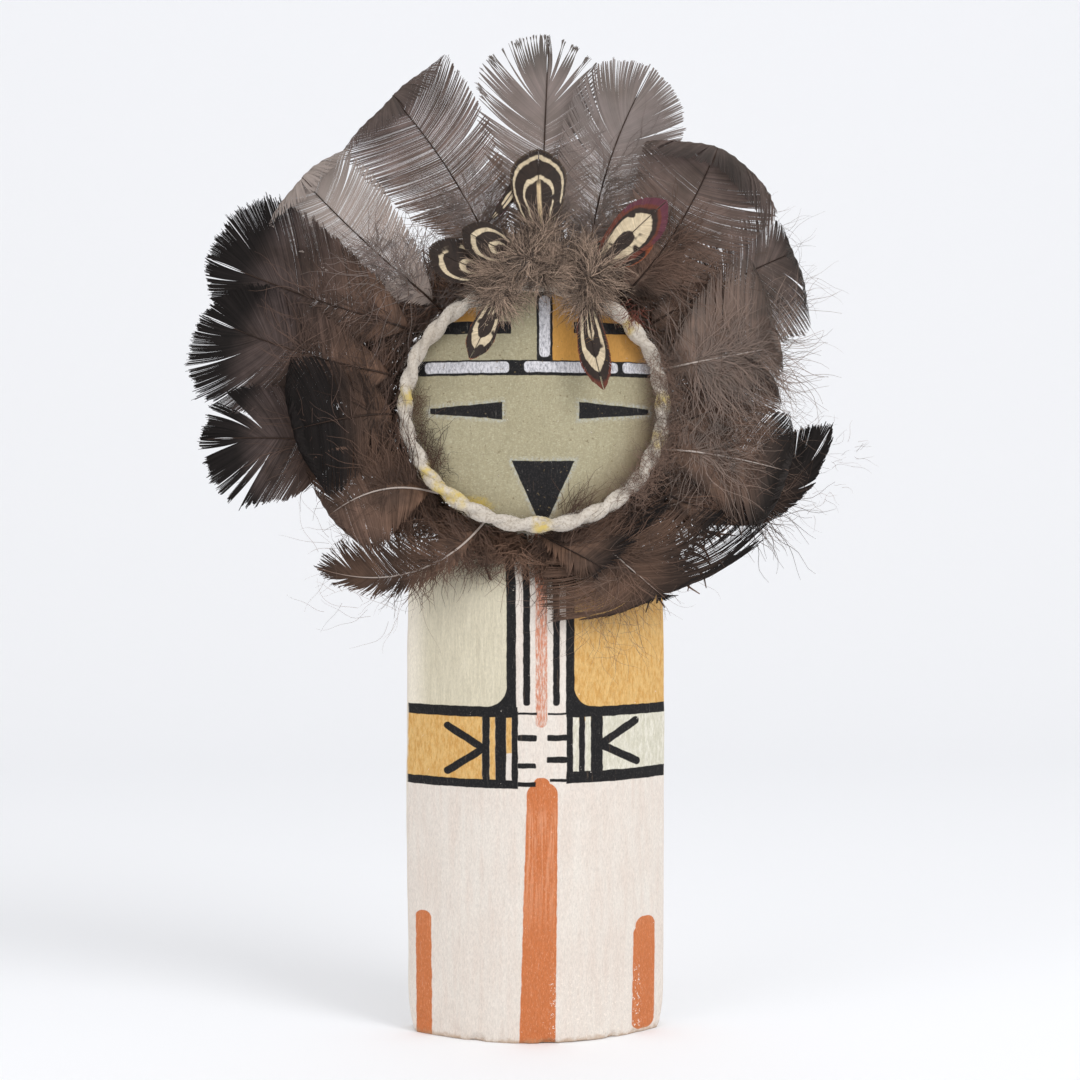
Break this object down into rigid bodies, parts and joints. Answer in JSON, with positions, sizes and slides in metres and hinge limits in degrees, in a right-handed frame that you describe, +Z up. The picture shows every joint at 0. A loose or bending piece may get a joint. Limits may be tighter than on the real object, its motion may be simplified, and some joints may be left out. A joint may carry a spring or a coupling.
{
  "type": "kachina doll",
  "caption": "Flat carved and painted wooden doll with a yarn ring round its face, a wide ruff of brown plumage and a crest of small feathers.",
  "frame": {"origin": "centre of the figure's flat underside, on the surface that it stands on", "axes": "+Z up along the figure, -Y the way the face looks, +X to the right as a viewer faces it"},
  "size_m": [0.1776, 0.0374, 0.2768],
  "materials": {
    "painted_wood": "matt earth paint on carved wood, brushed by hand, rubbed and chipped at the foot",
    "wool_yarn": "off-white two-ply wool, fuzzy, with small yellow glue stains",
    "ruff_plumage": "soft brown and grey plumage with darker tips and brown down",
    "crest_plumage": "smooth small feathers, dark brown and cream marks with rust edges"
  },
  "bodies": {
    "root": {"wooden_figure": "painted_wood", "yarn_ring": "wool_yarn", "ruff_feather_top": "ruff_plumage", "ruff_feather_top_right": "ruff_plumage", "ruff_feather_top_left": "ruff_plumage", "ruff_feather_upper_left": "ruff_plumage", "ruff_feather_left_high": "ruff_plumage", "ruff_feather_left_middle": "ruff_plumage", "ruff_feather_left_low": "ruff_plumage", "ruff_feather_left_front": "ruff_plumage", "ruff_feather_lower_left": "ruff_plumage", "ruff_feather_bottom_left": "ruff_plumage", "ruff_feather_bottom_front": "ruff_plumage", "ruff_feather_bottom_right": "ruff_plumage", "ruff_feather_lower_right": "ruff_plumage", "ruff_feather_right_low": "ruff_plumage", "ruff_feather_right_curled": "ruff_plumage", "ruff_feather_right_front": "ruff_plumage", "ruff_feather_right_high": "ruff_plumage", "ruff_feather_upper_right": "ruff_plumage", "crest_feather_centre": "crest_plumage", "crest_feather_thin": "crest_plumage", "crest_feather_upper_left": "crest_plumage", "crest_feather_left": "crest_plumage", "crest_feather_hanging_left": "crest_plumage", "crest_feather_hanging_right": "crest_plumage", "crest_feather_right": "crest_plumage", "crest_feather_behind_right": "crest_plumage"}
  },
  "joints": []
}
